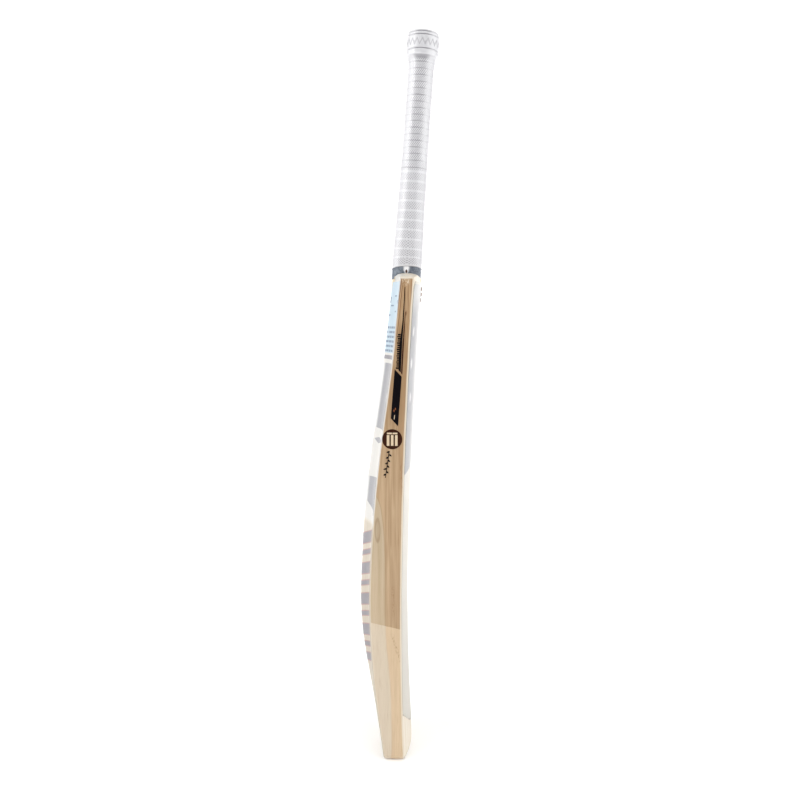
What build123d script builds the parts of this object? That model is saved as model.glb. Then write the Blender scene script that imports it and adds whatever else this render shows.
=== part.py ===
from build123d import *
import os
from dataclasses import dataclass
from math import cos, pi, sin

# Cricket bat: willow blade, spliced cane handle with rubber springs, twine, tape, grip, face sheet, decals.
#
# Millimetres. The bat stands on the flat of its toe, in the pose it balances in. The origin is the centre of
# that flat, +Z runs up to the handle, -Y is the hitting face's side and +Y the spine's side. Left and right
# are as seen by someone looking at the hitting face: left is -X.

os.makedirs("parts", exist_ok=True)

# ---------------------------------------------------------------- driving dimensions
BLADE_WIDTH = 108.0
HALF_WIDTH = BLADE_WIDTH / 2
FACE_CORNER = 2.4  # rounding of the long edges beside the face
BACK_CORNER = 2.8  # rounding of the long edges beside the back
TOE_CORNER = 7.0  # rounding of the toe's corners, seen from the front

SHOULDER_START = 567.0  # where the long edges start to curve in to the handle
SHOULDER_TOP = 578.5
SHOULDER_DIP = 572.0  # where the blade ends in the middle of its face and back
SHOULDER_CREST = (-15.5, 579.0)  # Y and Z of the top of the shoulders, which fall away to the face and back
SHOULDER_FALL = 7.4  # how much lower the shoulders are SHOULDER_HALF in front of or behind the crest
SHOULDER_HALF = 17.5

CUT_REACH = 80.0  # more than the bat's width or depth from its middle, for cuts that go right through
CUT_LENGTH = 400.0  # more than the handle's length, for the same use

SPLICE_TIP = 440.0
SPLICE_TIP_HALF = 2.5
SPLICE_TOP_HALF = 17.2

HANDLE_BASE = 567.0  # heights on the handle are counted along its axis, from this level
HANDLE_FOOT = -14.0  # Y of the handle's axis at that level
HANDLE_LEAN = 0.0711  # how far the axis leans to the face for each millimetre up
HANDLE_LENGTH = 285.0  # to the end of the cane
HANDLE_ROUNDNESS = 0.955  # width of the oval handle over its depth
OVAL_POINTS = 24  # points on the outline of the oval
SPRING_PITCH = 7.5
SPRING_THICK = 1.6
MIDDLE_STICK = 10.0  # width of the middle sticks

TWINE_THICK = 0.6
TAPE_THICK = 0.5
WRAP_BOTTOM = 4.0
TAPE_TOP = 38.0
GRIP_THICK = 1.7
GRIP_BOTTOM = 15.0
GRIP_DIP = 583.2  # Z of the grip's lower edge at the front and back, from which it arches up to the sides
GRIP_ARCH_HALF = 22.0  # X of a point on that arch
GRIP_ARCH_TOP = 588.9  # Z of that point
GRIP_TOP = 288.0
GRIP_HOLE = 9.0  # radius of the opening in the grip's top

SHEET_THICK = 0.5
SHEET_HALF = 51.5  # half the sheet's width
DECAL_THICK = 0.3
DECAL_HALF = 51.0  # half the width of the printed panels on the face and back
EDGE_DECAL_THICK = 0.1
ROUNDEL_RADIUS = 11.6
ROUNDEL_CENTRE = (-0.3, 388.0)  # Y and Z
FACE_SPLIT = -9.0  # Y of a plane between the face's skin and the back's skin


@dataclass
class Station:
    """One level of the blade."""

    z: float
    face: float  # Y of the face beside the long edges
    edge: float  # thickness of the long edges
    camber: float  # how far the middle of the face stands proud of its sides
    rise: float  # how far the spine stands proud of the edges' backs
    hollow: float  # 1 is a plain rounded back, more is hollowed out beside the spine


STATIONS = [
    Station(0, -14.5, 24.8, 7.0, 5.0, 1.0),
    Station(50, -12.6, 29.5, 6.6, 7.0, 1.05),
    Station(100, -11.5, 34.2, 5.6, 9.9, 1.1),
    Station(150, -11.0, 37.2, 5.1, 13.4, 1.15),
    Station(200, -10.9, 38.0, 5.0, 13.9, 1.2),
    Station(260, -11.7, 36.5, 5.4, 13.5, 1.2),
    Station(330, -13.3, 32.7, 6.0, 13.4, 1.25),
    Station(400, -15.7, 26.6, 6.6, 12.3, 1.3),
    Station(470, -18.9, 20.2, 7.0, 12.0, 1.4),
    Station(530, -22.3, 17.0, 7.2, 11.5, 1.5),
    Station(590, -26.6, 15.2, 7.0, 12.0, 1.6),
]


@dataclass
class Level:
    """One level of the oval handle: half its depth there, and how square it is (2 is an ellipse)."""

    h: float
    depth: float
    square: float


HANDLE_LEVELS = [
    Level(-9, 16.5, 3.2),
    Level(12, 16.3, 3.0),
    Level(38, 15.8, 2.5),
    Level(96, 14.4, 2.15),
    Level(154, 13.6, 2.0),
    Level(211, 13.3, 2.0),
    Level(GRIP_TOP + 4, 13.4, 2.0),
]

COLLAR_LEVELS = [
    Level(251, 15.4, 2.0),
    Level(258, 16.5, 2.0),
    Level(264, 19.6, 2.0),
    Level(282.5, 19.8, 2.0),
    Level(286.5, 18.2, 2.0),
    Level(GRIP_TOP, 15.2, 2.0),
]

handle_plane = Plane(origin=(0, HANDLE_FOOT, HANDLE_BASE), x_dir=(1, 0, 0), z_dir=(0, -HANDLE_LEAN, 1))


# ---------------------------------------------------------------- shapes that several pieces share
def blade_outline(s: Station, grow: float) -> Sketch:
    """The blade's outline at one level, grown outwards by grow."""
    half = HALF_WIDTH + grow
    face = s.face - grow
    back = s.face + s.edge + grow
    near = FACE_CORNER + grow
    far = BACK_CORNER + grow
    side = half - far
    bulge = 1 - 0.5**0.5  # sagitta of a quarter circle over its radius

    def spine(share):
        return back + s.rise * ((1 + cos(pi * share)) / 2) ** s.hollow

    shares = (0.84, 0.66, 0.48, 0.32, 0.16)
    right = [(share * side, spine(share)) for share in shares]
    left = [(-x, y) for x, y in reversed(right)]
    with BuildSketch() as outline:
        with BuildLine():
            ThreePointArc((-half + near, face), (0, face - s.camber), (half - near, face))
            SagittaArc((half - near, face), (half, face + near), -bulge * near)
            Line((half, face + near), (half, back - far))
            SagittaArc((half, back - far), (side, back), -bulge * far)
            Spline((side, back), *right, (0, back + s.rise), *left, (-side, back))
            SagittaArc((-side, back), (-half, back - far), -bulge * far)
            Line((-half, back - far), (-half, face + near))
            SagittaArc((-half, face + near), (-half + near, face), -bulge * near)
        make_face()
    return outline.sketch


def blade_form(grow: float) -> Part:
    """The blade at full width from the toe to above the shoulder, grown outwards by grow."""
    with BuildPart() as form:
        for s in STATIONS:
            with BuildSketch(Plane.XY.offset(s.z)):
                add(blade_outline(s, grow))
        loft()
    return form.part


def oval(level: Level, grow: float) -> Sketch:
    """The handle's oval outline at one level, grown outwards by grow."""
    depth = level.depth + grow
    width = level.depth * HANDLE_ROUNDNESS + grow
    power = 2 / level.square
    points = []
    for i in range(OVAL_POINTS):
        c = cos(2 * pi * i / OVAL_POINTS)
        s = sin(2 * pi * i / OVAL_POINTS)
        across = width * abs(c) ** power
        along = depth * abs(s) ** power
        points.append((across if c > 0 else -across, along if s > 0 else -along))
    with BuildSketch() as outline:
        with BuildLine():
            Spline(*points, periodic=True)
        make_face()
    return outline.sketch


def rod(levels: list[Level], grow: float) -> Part:
    """A rod through oval levels on the handle's axis, grown outwards by grow."""
    with BuildPart() as form:
        for level in levels:
            with BuildSketch(handle_plane.offset(level.h)):
                add(oval(level, grow))
        loft()
    return form.part


def save(piece: BuildPart, name: str):
    """Labels a finished piece and writes it to its own file."""
    piece.part.label = name
    export_step(piece.part, f"parts/{name}.step")


# ---------------------------------------------------------------- forms that the pieces are cut from
blade_surface = blade_form(0)
sheet_surface = blade_form(SHEET_THICK)
face_decal_surface = blade_form(SHEET_THICK + DECAL_THICK)
back_decal_surface = blade_form(DECAL_THICK)
cane_surface = rod(HANDLE_LEVELS, 0)
twine_surface = rod(HANDLE_LEVELS, TWINE_THICK)
tape_surface = rod(HANDLE_LEVELS, TWINE_THICK + TAPE_THICK)
grip_surface = rod(HANDLE_LEVELS, TWINE_THICK + GRIP_THICK)
collar_surface = rod(COLLAR_LEVELS, 0)

with BuildPart() as wood:
    add(blade_surface)
    with BuildSketch(Plane.XZ):
        with BuildLine():
            Line((-HALF_WIDTH, TOE_CORNER), (-HALF_WIDTH, SHOULDER_START))
            ThreePointArc((-HALF_WIDTH, SHOULDER_START), (-52.6, 571.2), (-49, 573.2))
            Line((-49, 573.2), (-SPLICE_TOP_HALF, SHOULDER_TOP))
            ThreePointArc(
                (-SPLICE_TOP_HALF, SHOULDER_TOP),
                (0, SHOULDER_DIP),
                (SPLICE_TOP_HALF, SHOULDER_TOP),
            )
            Line((SPLICE_TOP_HALF, SHOULDER_TOP), (49, 573.2))
            ThreePointArc((49, 573.2), (52.6, 571.2), (HALF_WIDTH, SHOULDER_START))
            Line((HALF_WIDTH, SHOULDER_START), (HALF_WIDTH, TOE_CORNER))
            RadiusArc((HALF_WIDTH, TOE_CORNER), (HALF_WIDTH - TOE_CORNER, 0), TOE_CORNER)
            Line((HALF_WIDTH - TOE_CORNER, 0), (-HALF_WIDTH + TOE_CORNER, 0))
            RadiusArc((-HALF_WIDTH + TOE_CORNER, 0), (-HALF_WIDTH, TOE_CORNER), TOE_CORNER)
        make_face()
    extrude(amount=CUT_REACH, both=True, mode=Mode.INTERSECT)
    crest_y, crest_z = SHOULDER_CREST
    with BuildSketch(Plane.YZ):
        with BuildLine():
            ThreePointArc(
                (crest_y - SHOULDER_HALF, crest_z - SHOULDER_FALL),
                SHOULDER_CREST,
                (crest_y + SHOULDER_HALF, crest_z - SHOULDER_FALL),
            )
            Polyline(
                (crest_y + SHOULDER_HALF, crest_z - SHOULDER_FALL),
                (CUT_REACH, crest_z - SHOULDER_FALL),
                (CUT_REACH, 0),
                (-CUT_REACH, 0),
                (-CUT_REACH, crest_z - SHOULDER_FALL),
                (crest_y - SHOULDER_HALF, crest_z - SHOULDER_FALL),
            )
        make_face()
    extrude(amount=CUT_REACH, both=True, mode=Mode.INTERSECT)

with BuildPart() as splice:
    with BuildSketch(Plane.XZ):
        Polygon(
            (-SPLICE_TIP_HALF, SPLICE_TIP),
            (SPLICE_TIP_HALF, SPLICE_TIP),
            (SPLICE_TOP_HALF, SHOULDER_TOP),
            (-SPLICE_TOP_HALF, SHOULDER_TOP),
            align=None,
        )
    extrude(amount=CUT_REACH, both=True)

# ---------------------------------------------------------------- blade
with BuildPart() as blade:
    add(wood.part)
    add(splice.part, mode=Mode.SUBTRACT)
save(blade, "blade")

# ---------------------------------------------------------------- cane handle, before it is divided
with BuildPart() as cane:
    add(wood.part)
    add(splice.part, mode=Mode.INTERSECT)
    add(cane_surface)
    with BuildSketch(Plane.XZ):
        with Locations((0, SPLICE_TIP)):
            Rectangle(CUT_REACH, CUT_LENGTH + HANDLE_LENGTH, align=(Align.CENTER, Align.MIN))
    extrude(amount=CUT_REACH, both=True, mode=Mode.INTERSECT)
    with BuildSketch(handle_plane.offset(HANDLE_LENGTH)):
        Rectangle(CUT_REACH, CUT_REACH)
    extrude(amount=CUT_REACH, mode=Mode.SUBTRACT)
    add(blade.part, mode=Mode.SUBTRACT)

layer_gap = SPRING_THICK / 2
outside = CUT_REACH
cuts = [-outside, -SPRING_PITCH, 0, SPRING_PITCH, outside]
layers = {}
for i, layer in enumerate(("face", "inner_face", "inner_back", "back")):
    layers[layer] = (cuts[i] + layer_gap, cuts[i + 1] - layer_gap)
columns = {
    "left": (-outside, -MIDDLE_STICK / 2),
    "middle": (-MIDDLE_STICK / 2, MIDDLE_STICK / 2),
    "right": (MIDDLE_STICK / 2, outside),
}


def cane_slice(x_range, y_range) -> BuildPart:
    """The part of the handle between two widths and two depths, measured square to its axis."""
    with BuildPart() as stick:
        add(cane.part)
        with BuildSketch(handle_plane):
            with Locations((sum(x_range) / 2, sum(y_range) / 2)):
                Rectangle(x_range[1] - x_range[0], y_range[1] - y_range[0])
        extrude(amount=CUT_LENGTH, both=True, mode=Mode.INTERSECT)
    return stick


for layer, y_range in layers.items():
    for column, x_range in columns.items():
        save(cane_slice(x_range, y_range), f"cane_{layer}_{column}")

for i, name in enumerate(("spring_face", "spring_middle", "spring_back")):
    middle = cuts[i + 1]
    save(cane_slice((-outside, outside), (middle - layer_gap, middle + layer_gap)), name)

# ---------------------------------------------------------------- twine, tape and grip
with BuildPart() as twine:
    add(twine_surface)
    with BuildSketch(handle_plane.offset(WRAP_BOTTOM)):
        Rectangle(CUT_REACH, CUT_REACH)
    extrude(amount=HANDLE_LENGTH - WRAP_BOTTOM, mode=Mode.INTERSECT)
    add(cane.part, mode=Mode.SUBTRACT)
    add(blade.part, mode=Mode.SUBTRACT)
save(twine, "twine_binding")

with BuildPart() as tape:
    add(tape_surface)
    with BuildSketch(handle_plane.offset(WRAP_BOTTOM)):
        Rectangle(CUT_REACH, CUT_REACH)
    extrude(amount=TAPE_TOP - WRAP_BOTTOM, mode=Mode.INTERSECT)
    add(twine_surface, mode=Mode.SUBTRACT)
    add(cane.part, mode=Mode.SUBTRACT)
    add(blade.part, mode=Mode.SUBTRACT)
save(tape, "shoulder_tape")

with BuildPart() as grip:
    add(grip_surface)
    with BuildSketch(handle_plane.offset(GRIP_BOTTOM)):
        Rectangle(CUT_REACH, CUT_REACH)
    extrude(amount=GRIP_TOP - GRIP_BOTTOM, mode=Mode.INTERSECT)
    add(collar_surface)
    with BuildSketch(Plane.XZ):
        with BuildLine():
            ThreePointArc((-GRIP_ARCH_HALF, GRIP_ARCH_TOP), (0, GRIP_DIP), (GRIP_ARCH_HALF, GRIP_ARCH_TOP))
            Polyline(
                (GRIP_ARCH_HALF, GRIP_ARCH_TOP),
                (GRIP_ARCH_HALF, SHOULDER_DIP),
                (-GRIP_ARCH_HALF, SHOULDER_DIP),
                (-GRIP_ARCH_HALF, GRIP_ARCH_TOP),
            )
        make_face()
    extrude(amount=CUT_REACH, both=True, mode=Mode.SUBTRACT)
    with BuildSketch(handle_plane.offset(HANDLE_LENGTH)):
        Circle(GRIP_HOLE)
    extrude(amount=CUT_REACH, mode=Mode.SUBTRACT)
    add(cane.part, mode=Mode.SUBTRACT)
    add(twine.part, mode=Mode.SUBTRACT)
    add(tape.part, mode=Mode.SUBTRACT)
save(grip, "grip")

# ---------------------------------------------------------------- face sheet and printed decals
with BuildPart() as face_sheet:
    add(sheet_surface)
    with BuildSketch(Plane.XZ.offset(-FACE_SPLIT)):
        with BuildLine():
            Polyline(
                (-SHEET_HALF, 55.5),
                (-SHEET_HALF, 562),
                (-46, 568),
                (46, 568),
                (SHEET_HALF, 562),
                (SHEET_HALF, 55.5),
            )
            Spline((SHEET_HALF, 55.5), (35, 44.5), (0, 28), (-35, 44.5), (-SHEET_HALF, 55.5))
        make_face()
    extrude(amount=CUT_REACH, mode=Mode.INTERSECT)
    add(blade_surface, mode=Mode.SUBTRACT)
save(face_sheet, "face_sheet")

with BuildPart() as face_panel:
    add(face_decal_surface)
    with BuildSketch(Plane.XZ.offset(-FACE_SPLIT)):
        Polygon(
            (-DECAL_HALF, 346),
            (0, 355),
            (DECAL_HALF, 346),
            (DECAL_HALF, 560),
            (46, 565),
            (-46, 565),
            (-DECAL_HALF, 560),
            align=None,
        )
    extrude(amount=CUT_REACH, mode=Mode.INTERSECT)
    add(sheet_surface, mode=Mode.SUBTRACT)
save(face_panel, "face_panel")

back_decals = {
    "back_label": [
        (-DECAL_HALF, 486),
        (DECAL_HALF, 486),
        (DECAL_HALF, 563),
        (45, 568.5),
        (-45, 568.5),
        (-DECAL_HALF, 563),
    ],
    "back_panel_upper": [(-DECAL_HALF, 397), (DECAL_HALF, 397), (DECAL_HALF, 474), (-DECAL_HALF, 474)],
    "back_panel_lower": [
        (-DECAL_HALF, 298),
        (0, 312),
        (DECAL_HALF, 298),
        (DECAL_HALF, 342),
        (0, 336),
        (-DECAL_HALF, 342),
    ],
}
for name, outline in back_decals.items():
    with BuildPart() as back_decal:
        add(back_decal_surface)
        with BuildSketch(Plane.XZ.offset(-FACE_SPLIT)):
            Polygon(*outline, align=None)
        extrude(amount=-CUT_REACH, mode=Mode.INTERSECT)
        add(blade_surface, mode=Mode.SUBTRACT)
        add(cane.part, mode=Mode.SUBTRACT)
    save(back_decal, name)

edge_shapes = {
    "edge_panel": [(-3.2, 468.5), (-11.2, 460.0), (-7.0, 403.0), (1.3, 412.2)],
    "edge_stripe": [
        (-14.5, 561.2),
        (-15.3, 561.2),
        (-13.6, 524.2),
        (-11.6, 496.0),
        (-10.1, 464.7),
        (-7.5, 467.4),
        (-8.8, 496.0),
        (-12.3, 524.2),
    ],
    "edge_accent": [
        (-15.2, 533.2),
        (-15.6, 533.2),
        (-14.0, 501.7),
        (-11.9, 462.2),
        (-10.5, 463.9),
        (-12.1, 496.0),
    ],
}
for side, direction in (("left", -1), ("right", 1)):
    edge_plane = Plane.YZ.offset(direction * HALF_WIDTH)
    for name, outline in edge_shapes.items():
        with BuildPart() as edge_decal:
            with BuildSketch(edge_plane):
                Polygon(*outline, align=None)
            extrude(amount=direction * EDGE_DECAL_THICK)
        save(edge_decal, f"{name}_{side}")
    with BuildPart() as roundel:
        with BuildSketch(edge_plane):
            with Locations(ROUNDEL_CENTRE):
                Circle(ROUNDEL_RADIUS)
        extrude(amount=direction * EDGE_DECAL_THICK)
    save(roundel, f"edge_roundel_{side}")
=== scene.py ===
from math import cos, pi, radians, sin

import bmesh
import bpy
import numpy as np
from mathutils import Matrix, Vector
from mathutils.bvhtree import BVHTree


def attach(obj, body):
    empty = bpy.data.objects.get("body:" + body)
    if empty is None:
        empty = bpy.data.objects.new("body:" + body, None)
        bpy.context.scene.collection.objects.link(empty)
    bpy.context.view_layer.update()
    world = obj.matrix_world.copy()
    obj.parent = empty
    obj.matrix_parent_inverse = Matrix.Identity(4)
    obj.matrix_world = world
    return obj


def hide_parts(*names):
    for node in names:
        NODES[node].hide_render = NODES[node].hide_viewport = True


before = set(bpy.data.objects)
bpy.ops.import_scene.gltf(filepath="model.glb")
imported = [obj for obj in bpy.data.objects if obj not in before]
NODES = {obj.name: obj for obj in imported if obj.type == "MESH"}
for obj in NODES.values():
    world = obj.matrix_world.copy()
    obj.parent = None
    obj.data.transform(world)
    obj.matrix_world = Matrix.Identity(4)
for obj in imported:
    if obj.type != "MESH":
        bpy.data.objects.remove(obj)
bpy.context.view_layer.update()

# Looks for the cricket bat. Metres, in the CAD's own frame: the origin is the centre of the toe's flat, +Z
# runs up to the handle, -Y is the hitting face's side, +Y the spine's side, and X runs across the blade.

HALF_WIDTH = 0.054
MM = 0.001


# ---------------------------------------------------------------- camera, lamps and meshes
def add_camera():
    data = bpy.data.cameras.new("camera")
    data.sensor_width = 36.0
    data.lens = 36.9
    data.clip_start = 0.01
    camera = bpy.data.objects.new("camera", data)
    camera.location = (-0.985, -0.0483, 0.5265)
    yaw, pitch = radians(2.4), radians(5.71)
    look = Vector((cos(yaw) * cos(pitch), sin(yaw) * cos(pitch), -sin(pitch)))
    camera.rotation_euler = look.to_track_quat("-Z", "Y").to_euler()
    bpy.context.scene.collection.objects.link(camera)
    bpy.context.scene.camera = camera


def add_softbox(name, place, aim, size, watts):
    data = bpy.data.lights.new(name, "AREA")
    data.shape = "RECTANGLE"
    data.size, data.size_y = size
    data.energy = watts
    lamp = bpy.data.objects.new(name, data)
    lamp.location = place
    lamp.rotation_euler = (Vector(aim) - Vector(place)).to_track_quat("-Z", "Y").to_euler()
    bpy.context.scene.collection.objects.link(lamp)


def mesh_object(name, verts, faces, material, smooth=True):
    mesh = bpy.data.meshes.new(name)
    mesh.from_pydata([tuple(v) for v in verts], [], faces)
    mesh.update()
    if smooth:
        mesh.polygons.foreach_set("use_smooth", [True] * len(mesh.polygons))
    mesh.materials.append(material)
    obj = bpy.data.objects.new(name, mesh)
    bpy.context.scene.collection.objects.link(obj)
    return obj


# ---------------------------------------------------------------- node helpers
def linear(r, g, b):
    """A colour given in ordinary 0 to 255 steps, as the linear colour that shaders use."""
    out = []
    for v in (r, g, b):
        v /= 255
        out.append(v / 12.92 if v <= 0.04045 else ((v + 0.055) / 1.055) ** 2.4)
    return (*out, 1.0)


class Shade:
    """One procedural material, with short calls for its nodes. Coordinates are the bat's own, in metres."""

    def __init__(self, name, **sockets):
        self.material = bpy.data.materials.new(name)
        self.material.use_nodes = True
        self.tree = self.material.node_tree
        self.surface = self.tree.nodes["Principled BSDF"]
        for socket, value in sockets.items():
            self.surface.inputs[socket.replace("_", " ")].default_value = value
        coordinates = self.node("TexCoord")
        self.place = coordinates.outputs["Object"]
        split = self.node("SeparateXYZ", {0: self.place})
        self.x, self.y, self.z = split.outputs
        normal = self.node("SeparateXYZ", {0: coordinates.outputs["Normal"]})
        self.nx, self.ny, self.nz = normal.outputs

    def node(self, kind, inputs=None, **settings):
        made = self.tree.nodes.new("ShaderNode" + kind)
        for key, value in settings.items():
            setattr(made, key, value)
        for key, value in (inputs or {}).items():
            self.put(made.inputs[key], value)
        return made

    def put(self, socket, value):
        if isinstance(value, bpy.types.NodeSocket):
            self.tree.links.new(value, socket)
        else:
            socket.default_value = value

    def do(self, operation, a, b=0.0):
        return self.node("Math", {0: a, 1: b}, operation=operation).outputs[0]

    def add(self, a, b):
        return self.do("ADD", a, b)

    def sub(self, a, b):
        return self.do("SUBTRACT", a, b)

    def mul(self, a, b):
        return self.do("MULTIPLY", a, b)

    def ramp(self, value, low, high):
        """Smoothly 0 below low and 1 above high."""
        made = self.node("MapRange", {0: value, 1: low, 2: high, 3: 0.0, 4: 1.0})
        made.interpolation_type = "SMOOTHSTEP"
        return made.outputs[0]

    def band(self, value, low, high, soft):
        """1 between low and high, with soft sides."""
        rise = self.ramp(value, low - soft, low + soft)
        fall = self.ramp(value, high - soft, high + soft)
        return self.mul(rise, self.sub(1.0, fall))

    def noise(self, sizes, detail=3.0, rough=0.5, warp=0.0, shift=0.0):
        """Noise from 0 to 1 whose lumps have the given sizes along X, Y and Z."""
        scale = tuple(1 / s for s in sizes)
        scaled = self.node("VectorMath", {0: self.place, 1: scale}, operation="MULTIPLY").outputs[0]
        away = (shift, shift * 0.7, shift * 1.3)
        moved = self.node("VectorMath", {0: scaled, 1: away}, operation="ADD").outputs[0]
        settings = {"Vector": moved, "Scale": 1.0, "Detail": detail, "Roughness": rough, "Distortion": warp}
        return self.node("TexNoise", settings).outputs[0]

    def curve(self, value, points):
        """A number looked up on a smooth curve through points, for values and results within 0 to 1."""
        made = self.node("FloatCurve", {"Value": value})
        line = made.mapping.curves[0]
        line.points[0].location = points[0]
        line.points[1].location = points[-1]
        for point in points[1:-1]:
            line.points.new(*point)
        made.mapping.update()
        return made.outputs[0]

    def mix(self, share, a, b):
        """Colour a where share is 0, and colour b where it is 1."""
        made = self.node("Mix", data_type="RGBA")
        self.put(made.inputs[0], share)
        self.put(made.inputs[6], a)
        self.put(made.inputs[7], b)
        return made.outputs[2]

    def colour(self, value):
        self.put(self.surface.inputs["Base Color"], value)

    def rough(self, value):
        self.put(self.surface.inputs["Roughness"], value)

    def bump(self, height, depth, strength):
        made = self.node("Bump", {"Height": height, "Distance": depth, "Strength": strength})
        self.put(self.surface.inputs["Normal"], made.outputs[0])


# ---------------------------------------------------------------- willow
RING_SPACING = 0.0092
# Where the sapwood starts: height as a share of 0.6 m, and depth from -25 mm (0) to 25 mm (1).
SAP_LINE = [
    (0.0, 0.540), (0.038, 0.514), (0.092, 0.514), (0.157, 0.544), (0.203, 0.598), (0.267, 0.648),
    (0.408, 0.664), (0.465, 0.686), (0.505, 0.744), (0.535, 0.848), (0.56, 1.0), (1.0, 1.0),
]
TONE_STEP, TONE_SLOPE = 0.1644, 0.223  # height at Y = 0 of the step in tone, below which the edges are paler, and its slope
# Long grain lines on the edges: depth at 0.53 m up, slope, lower end, upper end and strength.
GRAIN_LINES = [
    (-0.0085, 0.115, 0.50, 0.566, 0.7), (-0.0215, 0.03, 0.49, 0.560, 0.35), (0.0015, 0.11, 0.43, 0.50, 0.35),
]
# Broken streaks on the edges: depth and height of the middle, half length and slope.
DARK_STREAKS = [(-0.0011, 0.197, 0.017, 0.02), (-0.0050, 0.139, 0.017, 0.32), (-0.0120, 0.330, 0.03, 0.05)]
HANDLE_DEPTH = -0.0152  # Y of the handle's axis at the tape


def wood_grain(s):
    """Growth rings that show as long lines on the face and back, and as broad figure on the edges."""
    sway = s.noise((0.05, 0.05, 0.45), detail=2.0)
    bend = s.noise((0.012, 0.012, 0.16), detail=2.0, shift=3.0)
    across = s.add(s.add(s.x, s.mul(s.y, 0.12)), s.add(s.mul(sway, 0.012), s.mul(bend, 0.0025)))
    ring = s.do("FRACT", s.mul(across, 1 / RING_SPACING))
    line = s.mul(s.ramp(ring, 0.55, 0.93), s.sub(1.0, s.ramp(ring, 0.94, 1.0)))
    fibre = s.noise((0.0007, 0.0007, 0.022), detail=4.0, rough=0.6, shift=7.0)
    streak = s.noise((0.0035, 0.0035, 0.11), detail=3.0, rough=0.55, shift=1.0)
    return line, fibre, streak


def flat_wood(s, line, streak):
    """The face and the back. The back has a grey ground under its label and panels, and bare wood below."""
    flat = s.mix(s.mul(line, 0.5), linear(224, 214, 197), linear(204, 186, 156))
    flat = s.mix(s.mul(s.ramp(streak, 0.55, 0.85), 0.7), flat, linear(208, 193, 167))
    back = s.ramp(s.ny, 0.3, 0.6)
    primed = s.mul(s.band(s.z, 0.285, 0.6, 0.004), back)
    flat = s.mix(s.mul(primed, 0.85), flat, linear(194, 193, 190))
    unprimed = s.mul(s.sub(1.0, s.ramp(s.z, 0.281, 0.289)), back)
    return s.mix(s.mul(unprimed, 0.75), flat, linear(170, 158, 140))


def heartwood(s, streak):
    """Tan wood with brown figure, redder near the face."""
    side = s.mix(s.ramp(streak, 0.3, 0.72), linear(190, 162, 128), linear(163, 132, 97))
    figure = s.noise((0.05, 0.0022, 0.075), detail=3.0, rough=0.6, warp=0.6, shift=11.0)
    side = s.mix(s.mul(s.ramp(figure, 0.56, 0.74), 0.65), side, linear(142, 108, 72))
    side = s.mix(s.mul(s.ramp(figure, 0.44, 0.26), 0.4), side, linear(208, 184, 150))
    near_face = s.ramp(s.add(s.y, s.mul(s.z, -0.03)), -0.016, -0.026)
    return s.mix(s.mul(near_face, 0.35), side, linear(168, 128, 86))


def sap_depth(s):
    """How far a point is behind the wandering line where the sapwood starts."""
    line = s.curve(s.mul(s.z, 1 / 0.6), SAP_LINE)
    wave = s.mul(s.sub(s.noise((0.5, 0.02, 0.06), detail=2.0, shift=5.0), 0.5), 0.003)
    return s.sub(s.add(s.y, wave), s.add(s.mul(line, 0.05), -0.025))


def edge_wood(s, fibre, streak):
    """The long edges: heartwood in front, pale sapwood behind, and paler all over below the step in tone."""
    behind = sap_depth(s)
    sap = s.ramp(behind, -0.0009, 0.0012)
    sapwood = s.mix(s.ramp(streak, 0.3, 0.75), linear(193, 176, 149), linear(180, 161, 131))
    side = s.mix(s.mul(sap, 0.8), heartwood(s, streak), sapwood)
    seam = s.band(behind, -0.0004, 0.0006, 0.0005)
    side = s.mix(s.mul(seam, 0.4), side, linear(150, 116, 78))
    light_stretch = s.band(s.z, 0.14, 0.24, 0.03)
    side = s.mix(s.mul(light_stretch, 0.15), side, linear(216, 190, 156))
    dark_stretch = s.band(s.z, 0.40, 0.52, 0.03)
    side = s.mix(s.mul(dark_stretch, 0.6), side, linear(150, 118, 82))

    below = s.sub(s.add(TONE_STEP, s.mul(s.y, TONE_SLOPE)), s.z)
    jitter = s.mul(s.sub(s.noise((0.1, 0.004, 0.02), shift=9.0), 0.5), 0.0006)
    below_step = s.ramp(s.add(below, jitter), -0.0004, 0.0004)
    lower_wood = s.mix(sap, linear(230, 206, 172), linear(223, 210, 191))
    side = s.mix(s.mul(below_step, 0.55), side, lower_wood)
    return s.mix(s.mul(s.ramp(fibre, 0.52, 0.8), 0.4), side, linear(150, 114, 78))


def add_shoulder_grain(s, side):
    """Stronger grain towards the shoulder, and a scuffed patch at the very top."""
    coarse = s.noise((0.1, 0.0011, 0.028), detail=2.0, shift=13.0)
    upper = s.ramp(s.z, 0.44, 0.54)
    side = s.mix(s.mul(s.mul(s.ramp(coarse, 0.47, 0.6), upper), 0.55), side, linear(134, 98, 62))
    side = s.mix(s.mul(s.mul(s.ramp(coarse, 0.46, 0.34), upper), 0.35), side, linear(214, 192, 158))
    patch = s.mul(s.band(s.z, 0.5635, 0.5700, 0.0012), s.band(s.y, -0.0200, -0.0120, 0.0012))
    scratches = s.noise((0.1, 0.0012, 0.0022), detail=2.0, warp=0.5, shift=17.0)
    scuff = s.mul(patch, s.ramp(scratches, 0.48, 0.58))
    return s.mix(s.mul(scuff, 0.7), side, linear(232, 220, 196))


def add_border_line(s, side):
    """A brown line along the upper edge's border with the back."""
    away = s.do("ABSOLUTE", s.sub(s.add(s.y, 0.0109), s.mul(s.sub(0.5696, s.z), 0.1305)))
    away = s.add(away, s.mul(s.sub(s.noise((0.1, 0.1, 0.006), detail=3.0, shift=19.0), 0.5), 0.0012))
    line = s.mul(s.sub(1.0, s.ramp(away, 0.0002, 0.0008)), s.band(s.z, 0.519, 0.5705, 0.002))
    return s.mix(s.mul(line, 0.8), side, linear(88, 54, 28))


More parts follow.
